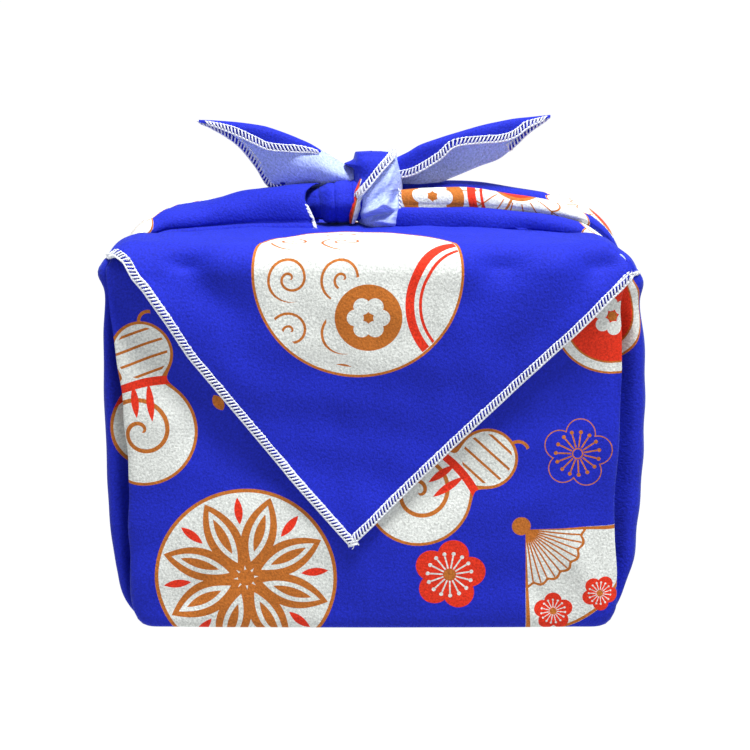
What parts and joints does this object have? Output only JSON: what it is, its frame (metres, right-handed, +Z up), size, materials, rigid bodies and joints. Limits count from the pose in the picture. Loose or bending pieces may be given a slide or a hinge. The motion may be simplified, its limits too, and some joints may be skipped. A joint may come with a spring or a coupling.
{
  "type": "furoshiki wrap",
  "caption": "Square printed cloth wrapped round a box, its back corner folded over the front as a pointed flap, its side corners tied on top in a knot with two free ends.",
  "frame": {"origin": "middle of the base, at the height of the surface that it rests on", "axes": "+Z up, -Y towards the front with the pointed flap, +X to the right as seen from the front"},
  "size_m": [0.2307, 0.142, 0.2141],
  "materials": {
    "printed_cloth": "matt crepe with a fine grain, printed in white, ochre and red on blue, pale on the reverse",
    "hem_thread": "white overlock thread with a soft sheen"
  },
  "bodies": {
    "root": {"wrapping_cloth": "printed_cloth"}
  },
  "joints": []
}
